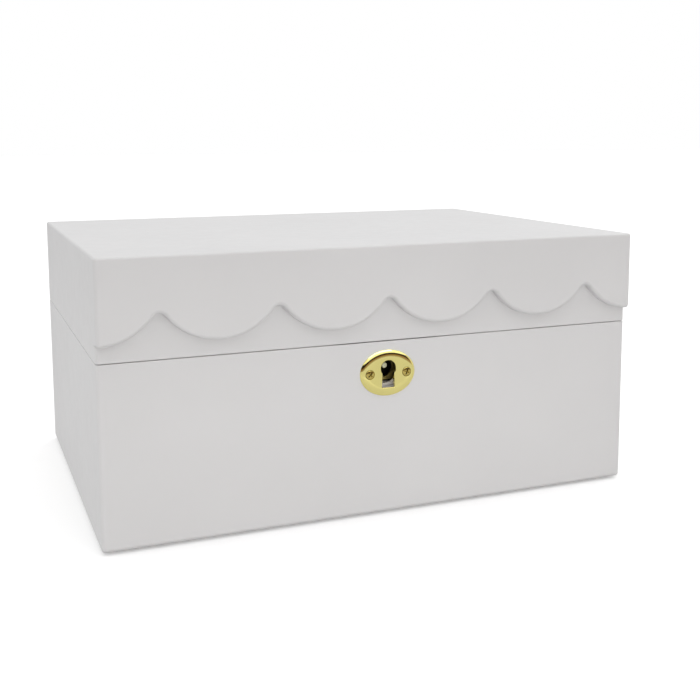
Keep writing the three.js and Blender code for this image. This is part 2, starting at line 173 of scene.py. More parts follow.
def rounded_box(name, box, radius, corner=None):
    """A box with rounded edges, and its four upright edges rounded to corner."""
    corner = radius if corner is None else corner
    z0, z1 = box[4], box[5]
    low = [(radius * (1 - math.sin(t)), z0 + radius * (1 - math.cos(t))) for t in quarter(3)]
    high = [(inset, z1 - (z - z0)) for inset, z in reversed(low)]
    return mesh_of(name, *loft([rect_loop(box, inset, corner, z) for inset, z in low + high]))


def swept_frame(name, box, profile, corner):
    """A closed profile of (inset, z) swept round a rectangle, such as four walls or a picture frame."""
    return mesh_of(name, *loft([rect_loop(box, inset, corner, z) for inset, z in profile], ring=True))


def open_tray(name, box, wall, base, corner, edge):
    """A tray: four walls with rounded rims and a floor."""
    z0, z1 = box[4], box[5]
    rim = fillet([(0, z0), (0, z1), (wall, z1), (wall, z0 + base)], [edge, edge, edge, 0])
    return mesh_of(name, *loft([rect_loop(box, inset, corner, z) for inset, z in [(wall, z0), *rim]]))


def prism(name, outlines, axis="Y"):
    """A solid along Y or Z, through [(place along the axis, outline in the other two axes), ...]."""
    def placed(along, a, b):
        return (a, along, b) if axis == "Y" else (a, b, along)

    return mesh_of(name, *loft([[placed(along, *p) for p in outline] for along, outline in outlines]))


def block(name, box):
    """A plain box."""
    x0, x1, y0, y1, z0, z1 = box
    return prism(name, [(z, [(x0, y0), (x1, y0), (x1, y1), (x0, y1)]) for z in (z0, z1)], "Z")


def carve(mesh, *cutters):
    """The mesh with the cutters' space taken out of it."""
    piece = new_object("carved", mesh)
    for cutter_mesh in cutters:
        cutter = new_object("cutter", cutter_mesh)
        step = piece.modifiers.new("cut", "BOOLEAN")
        step.operation, step.solver, step.object = "DIFFERENCE", "EXACT", cutter
        graph = bpy.context.evaluated_depsgraph_get()
        result = bpy.data.meshes.new_from_object(piece.evaluated_get(graph))
        piece.modifiers.clear()
        piece.data = result
        bpy.data.objects.remove(cutter)
    result = piece.data
    bpy.data.objects.remove(piece)
    result.materials.clear()
    return result


def soften(mesh, angle):
    """Smooth shading, kept crisp where two faces meet at more than the angle."""
    edit = bmesh.new()
    edit.from_mesh(mesh)
    limit = math.radians(angle)
    for face in edit.faces:
        face.smooth = True
    for edge in edit.edges:
        edge.smooth = edge.calc_face_angle(math.pi) < limit
    edit.to_mesh(mesh)
    edit.free()


def add_piece(name, mesh, material, body, nodes, angle=32):
    """Shows a mesh as a piece that rides on a body and stands for CAD nodes."""
    soften(mesh, angle)
    piece = new_object(name, mesh)
    mesh.materials.append(material)
    shade = piece.modifiers.new("even shading", "WEIGHTED_NORMAL")
    shade.keep_sharp = True
    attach(piece, body)
    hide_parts(*nodes)
    return piece


def finished_node(node, material, body, bevel, segments=2):
    """A piece of a CAD node's own shape, its sharp edges eased by the bevel, in millimetres."""
    source = frame["nodes"][node].data
    mesh = source.copy()
    mesh.name = node + "_fine"
    mesh.materials.clear()
    for layer in [a.name for a in mesh.attributes if a.name == "custom_normal"]:
        mesh.attributes.remove(mesh.attributes[layer])
    edit = bmesh.new()
    edit.from_mesh(mesh)
    bmesh.ops.remove_doubles(edit, verts=edit.verts, dist=2e-6)
    bmesh.ops.dissolve_limit(edit, angle_limit=math.radians(1), verts=edit.verts, edges=edit.edges)
    sharp = [e for e in edit.edges if e.calc_face_angle(0) > math.radians(40)]
    bmesh.ops.bevel(
        edit,
        geom=sharp,
        offset=bevel * MM,
        segments=segments,
        profile=0.5,
        affect="EDGES",
        clamp_overlap=True,
    )
    bmesh.ops.recalc_face_normals(edit, faces=edit.faces)
    edit.to_mesh(mesh)
    edit.free()
    return add_piece(node + "_fine", mesh, material, body, [node])


# ---------------------------------------------------------------- materials
def ramp_output(nodes, links, fac, stops):
    """A colour ramp over a value; each stop is (place, colour or grey)."""
    node = nodes.new("ShaderNodeValToRGB")
    for i, (place, colour) in enumerate(stops):
        element = node.color_ramp.elements[i] if i < 2 else node.color_ramp.elements.new(place)
        element.position = place
        element.color = (*colour, 1) if isinstance(colour, tuple) else (colour, colour, colour, 1)
    links.new(fac, node.inputs["Fac"])
    return node.outputs["Color"]


class Shader:
    """A Principled material whose textures are laid in the object's own metres."""

    def __init__(self, name, **sockets):
        self.material = bpy.data.materials.new(name)
        self.material.use_nodes = True
        self.nodes, self.links = self.material.node_tree.nodes, self.material.node_tree.links
        self.base = self.nodes["Principled BSDF"]
        self.space = self.nodes.new("ShaderNodeTexCoord").outputs["Object"]
        for socket, value in sockets.items():
            self.base.inputs[socket.replace("_", " ")].default_value = value

    def noise(self, scale, detail, stretch=(1, 1, 1), roughness=0.5):
        """Noise with that many cells to a metre."""
        place = self.nodes.new("ShaderNodeMapping")
        place.inputs["Scale"].default_value = stretch
        self.links.new(self.space, place.inputs["Vector"])
        texture = self.nodes.new("ShaderNodeTexNoise")
        texture.inputs["Scale"].default_value = scale
        texture.inputs["Detail"].default_value = detail
        texture.inputs["Roughness"].default_value = roughness
        self.links.new(place.outputs["Vector"], texture.inputs["Vector"])
        return texture.outputs["Fac"]

    def ramp(self, fac, stops, socket):
        """Colours or greys over a texture, linked to a socket of the shader."""
        self.links.new(ramp_output(self.nodes, self.links, fac, stops), self.base.inputs[socket])

    def mottled(self, fac, low, high):
        """The base colour, patchy between two colours."""
        self.ramp(fac, [(0.3, low), (0.7, high)], "Base Color")

    def bump(self, height, depth, strength, below=None):
        """A relief of that depth in millimetres, laid over another one if given."""
        node = self.nodes.new("ShaderNodeBump")
        node.inputs["Strength"].default_value = strength
        node.inputs["Distance"].default_value = depth * MM
        self.links.new(height, node.inputs["Height"])
        if below:
            self.links.new(below, node.inputs["Normal"])
        self.links.new(node.outputs["Normal"], self.base.inputs["Normal"])
        return node.outputs["Normal"]


def tinted(colour, amount):
    """A colour made lighter or darker."""
    return tuple(min(1.0, c * amount) for c in colour)


def lacquer_material():
    """Satin white lacquer sprayed over fibreboard: faint mottling and a fine orange peel."""
    colour = COLOURS["lacquer"]
    shader = Shader("white_lacquer", Coat_Weight=0.1, Coat_Roughness=0.2, Specular_IOR_Level=0.35)
    shader.mottled(shader.noise(14, 4), tinted(colour, 0.975), tinted(colour, 1.01))
    shader.ramp(shader.noise(160, 3), [(0.3, 0.36), (0.7, 0.46)], "Roughness")
    soft = shader.bump(shader.noise(120, 2), 0.03, 0.25)
    shader.bump(shader.noise(900, 2), 0.01, 0.3, below=soft)
    return shader.material


def velvet_material():
    """Short pile velvet: brushed patches, a fine nap and sheen at grazing angles."""
    colour = COLOURS["velvet"]
    shader = Shader("blush_velvet", Roughness=0.95, Sheen_Weight=0.9, Sheen_Roughness=0.35)
    shader.base.inputs["Sheen Tint"].default_value = (1.0, 0.9, 0.88, 1)
    shader.ramp(
        shader.noise(38, 5, (1, 1.7, 1), 0.62),
        [(0.32, tinted(colour, 0.74)), (0.68, tinted(colour, 1.02))],
        "Base Color",
    )
    patches = shader.bump(shader.noise(70, 3), 0.25, 0.35)
    shader.bump(shader.noise(2600, 2), 0.12, 0.7, below=patches)
    return shader.material


def felt_material():
    """Pressed wool felt with tangled fibres."""
    colour = COLOURS["felt"]
    shader = Shader("grey_felt", Roughness=1.0, Sheen_Weight=0.3, Sheen_Roughness=0.5)
    shader.mottled(shader.noise(420, 6, roughness=0.7), tinted(colour, 0.7), colour)
    shader.bump(shader.noise(900, 5), 0.3, 0.8)
    return shader.material


def brass_material(name, colour, haze):
    """Gold plate; haze is how dull the polish is."""
    shader = Shader(name, Metallic=1.0)
    shader.mottled(shader.noise(90, 3), tinted(colour, 0.96), tinted(colour, 1.02))
    shader.ramp(shader.noise(700, 4, (1, 1, 6)), [(0.3, haze), (0.7, haze + 0.08)], "Roughness")
    shader.bump(shader.noise(260, 2), 0.01, 0.12)
    return shader.material


def plated_steel_material(name, colour, metallic, haze):
    """Plate over pressed steel; haze is how dull it is."""
    shader = Shader(name, Metallic=metallic)
    shader.mottled(shader.noise(150, 3), tinted(colour, 0.94), tinted(colour, 1.04))
    shader.ramp(shader.noise(900, 3, (1, 1, 8)), [(0.3, haze), (0.7, haze + 0.1)], "Roughness")
    shader.bump(shader.noise(500, 2), 0.01, 0.2)
    return shader.material


def mirror_material():
    """Silvered glass with a trace of dust."""
    shader = Shader("silvered_glass", Metallic=1.0)
    colour = COLOURS["mirror"]
    shader.mottled(shader.noise(12, 2), tinted(colour, 0.98), colour)
    shader.ramp(shader.noise(60, 5), [(0.4, 0.01), (0.8, 0.05)], "Roughness")
    return shader.material


def ribbon_material():
    """Satin ribbon: fine ribs along it and a soft shine."""
    colour = COLOURS["ribbon"]
    shader = Shader("satin_ribbon", Roughness=0.34, Sheen_Weight=0.25, Anisotropic=0.4)
    shader.mottled(shader.noise(220, 3, (1, 4, 0.3)), tinted(colour, 0.86), tinted(colour, 1.03))
    shader.bump(shader.noise(1500, 2, (0.3, 3, 0.05)), 0.05, 0.5)
    return shader.material


LACQUER = lacquer_material()
VELVET = velvet_material()
FELT = felt_material()
BRASS = brass_material("gold_plate", COLOURS["brass"], 0.04)
# Painted shade: near-black brass on the back plate's face seen through the keyhole, in place of the lock's
# dark inside.
SHADE_BLACK_BRASS = brass_material("shade_black_brass", COLOURS["shade_black"], 0.5)
# Painted shade: the bolt's brass made darker for the shade inside the lock; its higher haze is a duller
# polish.
SHADE_DIMMED_BRASS = brass_material("shade_dimmed_brass", COLOURS["shade_dimmed_brass"], 0.28)
SCREW_BRASS = brass_material("screw_brass", COLOURS["screw_brass"], 0.16)
NICKEL = plated_steel_material("nickel_plate", COLOURS["nickel"], 0.25, 0.26)
PIN_STEEL = plated_steel_material("pin_steel", COLOURS["pin_steel"], 0.25, 0.26)
MIRROR = mirror_material()
RIBBON = ribbon_material()


# ---------------------------------------------------------------- the chest's walls
WALLS = node_box("front_panel", "back_panel", "left_panel", "right_panel")
INNER = node_box("bottom_panel")
UPRIGHT = 2.0  # radius of the upright edges
SEAM_EDGE = 0.45  # radius of the edges at the seam
INNER_EDGE = 0.3  # radius of the rims' inner edges
FOOT_EDGE = 2.4  # radius along the chest's lower edge
SEAM_FILL = 0.11  # how much the lacquer on the rims narrows the seam, on each side
BARE_RIM = 27  # half width of the stretch over the lock, where nothing narrows the seam
PANEL_HOLE = (6, 65, 80)  # half width, low end and high end of the hole behind the lock plate
HINGE_LEAF = 1.25  # thickness of a hinge's leaf
POCKET_PLAY = 0.15  # room round a hinge's leaf
LOCK_PLAY = 0.25  # room round the lock's case and the link plate


def hinge_pockets(z0, z1):
    """Room for each hinge's leaf in a back wall, from z0 to z1."""
    cutters = []
    for side in ("left", "right"):
        x0, x1, y0 = grown(node_box(f"hinge_{side}_chest_leaf"), POCKET_PLAY)[:3]
        cutters.append(block("pocket", (x0, x1, y0, WALLS[3] + PAST, z0, z1)))
    return cutters


def chest_walls():
    """The four walls as one lacquered skin, with room for the lock, the key and the hinges."""
    z0, z1 = WALLS[4], WALLS[5] + SEAM_FILL
    wall = WALLS[1] - INNER[1]
    corners = [(0, z0), (0, z1), (wall, z1), (wall, z0)]
    profile = fillet(corners, [FOOT_EDGE, SEAM_EDGE, INNER_EDGE, INNER_EDGE], 6)
    mesh = swept_frame("chest_walls", WALLS, profile, UPRIGHT)
    case = grown(node_box("lock_case"), LOCK_PLAY)
    mortise = (case[0], case[1], case[2], INNER[2] + PAST, case[4], z1 + PAST)
    bare_rim = (-BARE_RIM, BARE_RIM, WALLS[2] - PAST, INNER[2] + PAST, WALLS[5], z1 + PAST)
    half, low, high = PANEL_HOLE
    crown = half - 0.5
    outline = fillet([(-half, low), (half, low), (half, high), (-half, high)], [1, 1, crown, crown])
    hole = [(y, outline) for y in (WALLS[2] - PAST, case[2] + PAST)]
    cutters = [block("mortise", mortise), block("bare_rim", bare_rim), prism("hole", hole)]
    cutters += hinge_pockets(z1 - HINGE_LEAF, z1 + PAST)
    nodes = ["front_panel", "back_panel", "left_panel", "right_panel"]
    add_piece("chest_walls", carve(mesh, *cutters), LACQUER, "chest", nodes)


def chest_base():
    """The bottom board and the felt under it."""
    base = rounded_box("base_board", node_box("bottom_panel"), 0.3)
    add_piece("base_board", base, LACQUER, "chest", ["bottom_panel"])
    felt = rounded_box("felt_sheet", node_box("base_felt"), 0.35, corner=3)
    add_piece("felt_sheet", felt, FELT, "chest", ["base_felt"])


# ---------------------------------------------------------------- the lid
SCALLOPS = 5
SCALLOP_RADIUS = 31.5
NOTCH_RADIUS = 3.5  # radius of the points between the scallops
ARC_STEPS = 16
NOTCH_STEPS = 10
BOARD_EDGE = 2.0  # radius along the scalloped edge
PAINT_FILLET = 0.25  # paint gathered in the corner under the scalloped edge
TOP_EDGE = 1.2  # radius round the lid's top
LEVEL_GAP = 0.2  # how far apart the levels of the scalloped edge pass round the plain walls


def scallop_points(low, half_width):
    """The scalloped edge from left to right as (centre, radius, angle, sign) of each point.

    Easing the edge into the board by e moves a point to radius + sign * e from the same centre.
    """
    pitch = 2 * half_width / SCALLOPS
    reach = SCALLOP_RADIUS + NOTCH_RADIUS
    tilt = math.asin(pitch / 2 / reach)
    arc_z = low + SCALLOP_RADIUS
    notch_z = arc_z - reach * math.cos(tilt)
    points = []
    for i in range(SCALLOPS):
        left = -half_width + i * pitch
        for k in range(ARC_STEPS // 2 + 1):
            turn = tilt * 2 * k / ARC_STEPS
            points.append(((left, arc_z), SCALLOP_RADIUS, -math.pi / 2 + turn, -1))
        for k in range(1, NOTCH_STEPS):
            turn = tilt * (1 - 2 * k / NOTCH_STEPS)
            points.append(((left + pitch / 2, notch_z), NOTCH_RADIUS, math.pi / 2 + turn, 1))
        for k in range(ARC_STEPS // 2):
            turn = -tilt * (1 - 2 * k / ARC_STEPS)
            points.append(((left + pitch, arc_z), SCALLOP_RADIUS, -math.pi / 2 + turn, -1))
    return points


class LidColumn:
    """One upright line of the lid's skin, as the places it passes through.

    strip, board and inside give (x, y) for an inset: on the wall's strip under the scalloped board, on the
    board's face and inside the lid. eased gives (x, z) on the scalloped edge for an easing. Its x is None in
    the upright corners, where the edge is straight, and eased itself is None away from the board.
    """

    def __init__(self, strip, board, inside, eased=None):
        self.strip, self.board, self.inside, self.eased = strip, board, inside, eased


def lid_columns(box, board_y, low, wall):
    """Every column of the lid's skin, going round from the front's left end."""
    half, y0, y1 = box[1:4]
    r = UPRIGHT
    inner_x, inner_y = half - wall, y1 - wall
    inner_r, inner_flat = 0.5, 1  # radius of the inner corners, and how far from them the flats keep
    shrink = (inner_x - inner_flat) / (half - r)

    def front(point):
        centre, radius, angle, sign = point

        def eased(e):
            reach = radius + sign * e
            return centre[0] + reach * math.cos(angle), centre[1] + reach * math.sin(angle)

        x = eased(0)[0]
        face_x = eased(BOARD_EDGE)[0]
        return LidColumn(
            lambda d: (x, y0 + d),
            lambda d: (face_x, board_y + d),
            lambda d: (x * shrink, -inner_y - d),
            eased,
        )

    def corner(sx, sy, turn, on_board):
        """A column in the rounded corner at the side sx and the end sy; turn is 0 on the side wall."""
        cx, cy = sx * (half - r), (y0 + r if sy < 0 else y1 - r)
        board_cy = board_y + r if on_board else cy
        dx, dy = sx * math.cos(turn), sy * math.sin(turn)
        ix, iy = sx * (inner_x - inner_r), sy * (inner_y - inner_r)
        return LidColumn(
            lambda d: (cx + (r - d) * dx, cy + (r - d) * dy),
            lambda d: (cx + (r - d) * dx, board_cy + (r - d) * dy),
            lambda d: (ix + (inner_r + d) * dx, iy + (inner_r + d) * dy),
            (lambda e: (None, low + e)) if on_board else None,
        )

    def side(sx, y):
        def outside(d):
            return sx * (half - d), y

        inner = max(-inner_y + inner_flat, min(inner_y - inner_flat, y))
        return LidColumn(outside, outside, lambda d: (sx * (inner_x + d), inner))

    def back(x):
        def outside(d):
            return x, y1 - d

        return LidColumn(outside, outside, lambda d: (x * shrink, inner_y + d))

    turns = quarter(6)
    side_steps, back_steps = 12, 24
    clear = 0.5  # how far the side columns keep from the rounded corners
    side_run, back_run = y1 - y0 - 2 * r - 2 * clear, 2 * (half - r)
    side_ys = [y0 + r + clear + side_run * k / side_steps for k in range(side_steps + 1)]
    back_xs = [half - r - back_run * k / back_steps for k in range(1, back_steps)]
    scallops = scallop_points(low, half)
    between_corners = [p for p in scallops if abs(p[0][0] + p[1] * math.cos(p[2])) < half - r]
    return [
        *[front(p) for p in between_corners],
        *[corner(1, -1, t, True) for t in reversed(turns)],
        *[side(1, y) for y in side_ys],
        *[corner(1, 1, t, False) for t in turns],
        *[back(x) for x in back_xs],
        *[corner(-1, 1, t, False) for t in reversed(turns)],
        *[side(-1, y) for y in reversed(side_ys)],
        *[corner(-1, -1, t, True) for t in turns],
    ]


def lid_skin():
    """The lid and its scalloped board under one coat of lacquer."""
    box = node_box("lid_front_panel", "lid_top_panel")
    board = node_box("lid_scallop_board")
    inside = node_box("lid_wall_lining")
    z0, z1, ceiling = box[4] - SEAM_FILL, box[5], node_box("lid_top_panel")[4]
    y0, board_y, low = box[2], board[2], board[4]
    wall = box[1] - inside[1]
    columns = lid_columns(box, board_y, low, wall)

    def paint_fillet(column, turn):
        """A point of the paint's fillet; turn is 0 on the strip and a right angle under the board."""
        easing, out = PAINT_FILLET * (math.sin(turn) - 1), PAINT_FILLET * (1 - math.cos(turn))
        x, z = column.eased(easing)
        if x is None:
            near, far, share = column.strip(0), column.board(0), out / (y0 - board_y)
            return near[0] + (far[0] - near[0]) * share, near[1] + (far[1] - near[1]) * share, z
        return x, y0 - out, z

    def rounded_edge(column, turn):
        """A point of the board's rounded lower edge; turn is 0 underneath and a right angle on the face."""
        x, z = column.eased(BOARD_EDGE * (1 - math.cos(turn)))
        plan = column.board(BOARD_EDGE * (1 - math.sin(turn)))
        return (plan[0] if x is None else x), plan[1], z

    levels = [[(*c.inside(0), z) for c in columns] for z in (ceiling, z0 + INNER_EDGE)]
    for t in quarter(2)[1:]:
        inset, z = INNER_EDGE * (1 - math.cos(t)), z0 + INNER_EDGE * (1 - math.sin(t))
        levels.append([(*c.inside(inset), z) for c in columns])
    for t in quarter(4):
        inset, z = SEAM_EDGE * (1 - math.sin(t)), z0 + SEAM_EDGE * (1 - math.cos(t))
        levels.append([(*c.strip(inset), z) for c in columns])
    edge = [(paint_fillet, t) for t in quarter(3)] + [(rounded_edge, t) for t in quarter(6)]
    for k, (place, t) in enumerate(edge):
        wall_z = low + (-PAINT_FILLET + LEVEL_GAP * k)
        levels.append([place(c, t) if c.eased else (*c.strip(0), wall_z) for c in columns])
    for t in quarter(5):
        inset, z = TOP_EDGE * (1 - math.cos(t)), z1 - TOP_EDGE * (1 - math.sin(t))
        levels.append([(*c.board(inset), z) for c in columns])
    mesh = mesh_of("lid_skin", *loft(levels))

    link = grown(node_box("link_plate"), LOCK_PLAY)
    recess = (*link[:3], inside[2] + PAST, z0 - PAST, node_box("link_plate")[5])
    bare_rim = (-BARE_RIM, BARE_RIM, y0 - PAST, inside[2] + PAST, z0 - PAST, box[4])
    cutters = [block("recess", recess), block("bare_rim", bare_rim)]
    cutters += hinge_pockets(z0 - PAST, z0 + HINGE_LEAF)
    nodes = ["lid_top_panel", "lid_front_panel", "lid_back_panel", "lid_left_panel", "lid_right_panel"]
    add_piece("lid_skin", carve(mesh, *cutters), LACQUER, "lid", [*nodes, "lid_scallop_board"])


# ---------------------------------------------------------------- lock plate and screws
# The keyhole: its round head's radius and height, and its slot's half widths (top, low) and low end.
KEYHOLE = {"head": 4.0, "head_z": 74.75, "top": 3.1, "low": 3.4, "bottom": 65}
KEYHOLE_EDGE = 0.18  # the ease round the keyhole
# The plate's rim from its back to its flat face, as (inset from the outline, height over the back).
PLATE_RIM = [
    (0, 0),
    (0, 0.26),
    (0.1, 0.36),
    (0.6, 0.72),
    (0.95, 0.925),
    (1.25, 1.06),
    (1.6, 1.17),
    (2.15, 1.3),
    (2.75, 1.395),
    (3.4, 1.46),
]
PLATE_FLAT = 4.1  # inset of the flat face
PLATE_STEPS = 128
SCREW_SIDES = 40


def keyhole(grow=0.0, steps=40):
    """The keyhole's outline in X and Z: a round head over a slot that widens downwards."""
    head, z = KEYHOLE["head"] + grow, KEYHOLE["head_z"]
    start = math.asin((KEYHOLE["top"] + grow) / head) - math.pi / 2
    sweep = 2 * math.pi - 2 * (start + math.pi / 2)
    arc = [start + sweep * k / steps for k in range(steps + 1)]
    low, bottom = KEYHOLE["low"] + grow, KEYHOLE["bottom"] - grow
    slot = [(-low, bottom), (low, bottom), (low, z), (-low, z)]
    foot = fillet(slot, [0.3, 0.3, 0, 0], 3)[:-2]
    return [tuple(p) for p in foot] + [(head * math.cos(t), z + head * math.sin(t)) for t in arc]


def lock_plate():
    """The oval plate: a bevelled rim that turns softly into a flat face."""
    x0, x1, y0, y1, z0, z1 = node_box("escutcheon")
    rx, rz, z = (x1 - x0) / 2, (z1 - z0) / 2, (z0 + z1) / 2
    loops = []
    for inset, height in [*PLATE_RIM, (PLATE_FLAT, y1 - y0)]:
        loop = []
        for t in around(PLATE_STEPS):
            out_x, out_z = Vector((rz * math.cos(t), rx * math.sin(t))).normalized()
            x = rx * math.cos(t) - out_x * inset
            loop.append((x, y1 - height, z + rz * math.sin(t) - out_z * inset))
        loops.append(loop)
    mesh = mesh_of("lock_plate", *loft(loops))
    wide, edge_y = keyhole(KEYHOLE_EDGE), y0 + KEYHOLE_EDGE
    hole = [(y0 - PAST, wide), (y0, wide), (edge_y, keyhole()), (y1 + PAST, keyhole())]
    cutters = [prism("keyhole", hole)]
    for side in ("left", "right"):
        sx0, sx1, _, _, sz0, sz1 = node_box(f"escutcheon_screw_{side}")
        cx, cz, r = (sx0 + sx1) / 2, (sz0 + sz1) / 2, (sx1 - sx0) / 2
        cone = [
            (y, [(cx + reach * math.cos(t), cz + reach * math.sin(t)) for t in around(SCREW_SIDES)])
            for y, reach in ((y0 - PAST, r + 0.3), (y0 + 0.15, r + 0.2), (y1 - 0.2, r - 0.9))
        ]
        cutters.append(prism("countersink", cone))
    add_piece("lock_plate", carve(mesh, *cutters), BRASS, "chest", ["escutcheon"], angle=40)


def screw_mesh(head, rise, length, twist):
    """A cross-head screw from the radius of its head, the height of its dome, its length and its turn.

    The dome's foot is at the origin and the shank runs down from it.
    """
    sink, shank = head * 0.5, head * 0.42  # depth of the countersink and radius of the shank
    dome = [(head * math.sin(t), rise * math.cos(t) - 0.05 * head * math.sin(t)) for t in quarter(7)]
    profile = [
        *dome[1:],
        (head, -0.2),
        (shank * 1.05, -sink - 0.1),
        (shank, -sink - 0.4),
        (shank, -length + 1.2),
        (0.12, -length),
    ]
    loops = [[(r * math.cos(t), r * math.sin(t), z) for t in around(SCREW_SIDES)] for r, z in profile]
    mesh = mesh_of("screw", *loft(loops))
    arm, width, depth = head * 0.62, head * 0.13, head * 0.54
    blade = ((rise + PAST, arm * 1.25, width), (rise * 0.4, arm, width), (-depth, arm * 0.3, width * 0.5))
    cutters = []
    for turn in (twist, twist + 90):
        cutter = prism("blade", [(z, [(-a, -w), (a, -w), (a, w), (-a, w)]) for z, a, w in blade], "Z")
        cutter.transform(Matrix.Rotation(math.radians(turn), 4, "Z"))
        cutters.append(cutter)
    return carve(mesh, *cutters)


FRONT, BACK, UP, DOWN = Vector((0, -1, 0)), Vector((0, 1, 0)), Vector((0, 0, 1)), Vector((0, 0, -1))
# Each kind of screw: the body it rides on, the way its head faces and how far the head stands up.
SCREWS = {
    "escutcheon_screw": ("chest", FRONT, 0.5),
    "lock_screw": ("chest", BACK, 0.5),
    "link_screw": ("lid", DOWN, 0),
    "hinge_chest_screw": ("chest", UP, 0),
    "hinge_lid_screw": ("lid", DOWN, 0),
}


def screws():
    """Every screw, each with its cross turned its own way."""
    for kind, (body, facing, rise) in SCREWS.items():
        names = sorted(n for n in frame["nodes"] if n.startswith(kind))
        for i, node in enumerate(names):
            low, high = (Vector(corner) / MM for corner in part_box(node))
            axis = max(range(3), key=lambda k: abs(facing[k]))
            across = (axis + 1) % 3
            head = (high[across] - low[across]) / 2
            length = high[axis] - low[axis] - rise
            top = (low + high) / 2
            top[axis] = high[axis] - rise if facing[axis] > 0 else low[axis] + rise
            dome = rise * 0.92 if rise else 0.05
            mesh = screw_mesh(head, dome, length, 45 + 23 * i)
            turn = UP.rotation_difference(facing).to_matrix().to_4x4()
            mesh.transform(Matrix.Translation(top * MM) @ turn)
            add_piece(node + "_fine", mesh, SCREW_BRASS, body, [node])


def lock_parts():
    """The lock behind the plate, the link plate in the lid and the hinges."""
    finished_node("lock_case", NICKEL, "chest", 0.2)
    plate = finished_node("lock_back_plate", BRASS, "chest", 0.2)
    # The back plate's face towards the keyhole gets the near-black brass: painted shade for the lock's dark
    # inside.
    plate.data.materials.append(SHADE_BLACK_BRASS)
    for face in plate.data.polygons:
        face.material_index = 1 if face.normal.y < -0.9 else 0
    finished_node("lock_key_pin", PIN_STEEL, "chest", 0.35, 3)
    finished_node("lock_spring", NICKEL, "chest", 0.08)
    # The bolt's darker brass is painted shade for the lock's dim inside.
    finished_node("lock_bolt", SHADE_DIMMED_BRASS, "lock_bolt", 0.2)
    finished_node("link_plate", BRASS, "lid", 0.12)
    for side in ("left", "right"):
        finished_node(f"hinge_{side}_chest_leaf", BRASS, "chest", 0.15)
        finished_node(f"hinge_{side}_lid_leaf", BRASS, "lid", 0.15)
        finished_node(f"hinge_{side}_pin", BRASS, "chest", 0.3, 3)


# ---------------------------------------------------------------- velvet and mirror
LID_LINING = 1.5  # thickness of the lid's lining
MIRROR_BEVEL = 6.0  # width of the bevel round the mirror
PAD_CROWN = 3.4  # height of the surround's wadding over its edges


def velvet_linings():
    """Velvet-covered cards on the chest's floor and walls, and the lining inside the lid."""
    for side in ("left", "right", "back"):
        node = f"{side}_lining"
        card = rounded_box(node, node_box(node), 0.8)
        add_piece(node + "_card", card, VELVET, "chest", [node])
    floor = rounded_box("floor_card", node_box("floor_lining"), 0.6)
    add_piece("floor_lining_card", floor, VELVET, "chest", ["floor_lining"])

    plate = grown(node_box("lock_back_plate"), 0.5)
    front = node_box("front_lining")
    window = (plate[0], plate[1], front[2] - PAST, front[3] + PAST, plate[4], front[5] + PAST)
    card = carve(rounded_box("front_card", front, 0.8), block("window", window))
    add_piece("front_lining_card", card, VELVET, "chest", ["front_lining"])

    box = node_box("lid_wall_lining")
    z0, z1 = box[4:]
    corners = [(0, z0), (0, z1), (LID_LINING, z1), (LID_LINING, z0)]
    profile = fillet(corners, [0.1, 0.1, 0.1, 0.7], 3)
    ring = swept_frame("lid_lining", box, profile, 0.4)
    add_piece("lid_lining_band", ring, VELVET, "lid", ["lid_wall_lining"])


def mirror_and_surround():
    """The mirror under the lid in its crowned velvet surround."""
    box = node_box("mirror")
    z0, z1 = box[4:]
    profile = [(0, z1), (0, z0 + 0.9), (MIRROR_BEVEL, z0), (MIRROR_BEVEL + 0.4, z0)]
    loops = [rect_loop(box, inset, 1.0, z) for inset, z in profile]
    add_piece("mirror_glass", mesh_of("mirror", *loft(loops)), MIRROR, "lid", ["mirror"], angle=5)

    outer = node_box("mirror_surround")
    hole = grown(box, 0.25)
    top = outer[5]
    edge, steps = 1.0, 16  # height of the pad's edge, and steps across its crown
    section = [(0.0, 0.0), (0.0, edge)]  # as (share of the way across, drop from the top)
    for k in range(steps + 1):
        share = k / steps
        section.append((share, edge + PAD_CROWN * math.sin(math.pi * share) ** 0.6))
    section += [(1.0, edge), (1.0, 0.0)]
    loops = [
        rect_loop([a + (b - a) * share for a, b in zip(outer[:4], hole[:4])], 0, 1.0, top - drop)
        for share, drop in section
    ]
    pad = mesh_of("surround", *loft(loops, ring=True))
    edit = bmesh.new()
    edit.from_mesh(pad)
    long_edges = [e for e in edit.edges if e.calc_length() > 20 * MM]
    bmesh.ops.subdivide_edges(edit, edges=long_edges, cuts=48, use_grid_fill=True)
    smooth = 1.2  # drop down to which the velvet has no wrinkles
    for vertex in edit.verts:
        drop = top - vertex.co.z / MM
        if drop > smooth:
            pull = noise.noise(vertex.co * 55) * 0.45 + noise.noise(vertex.co * 140) * 0.18
            vertex.co.z -= pull * MM * min(1.0, (drop - smooth) / 1.5)
    edit.to_mesh(pad)
    edit.free()
    piece = add_piece("mirror_surround_pad", pad, VELVET, "lid", ["mirror_surround"], angle=60)


# ---------------------------------------------------------------- runners and drawers
TRAY_WALL = 4
TRAY_BASE = 3
TRAY_CORNER = 1.5  # radius of the tray's upright edges
TRAY_EDGE = 0.9  # radius round the tray's rim
ROLLS = 6
SLIT = 9.0  # depth of the slits between the rolls
SLIT_GAP = 0.5  # width of the slits
ROLL_STEPS = 10  # steps round a roll
PAD_STEPS = 44  # steps along the rolls
PAD_EASE = (2.5, 0.035)  # length of the rolls' rounded ends, and how much they narrow there
PAD_SWELL = 1.1  # how far the stuffing may push the velvet out
STUFFING_FRAMES = 20


def runners():
    """The four rails that the drawers slide on."""
    for level in ("upper", "lower"):
        for end in ("front", "back"):
            finished_node(f"{level}_runner_{end}", LACQUER, "chest", 0.5, 3)


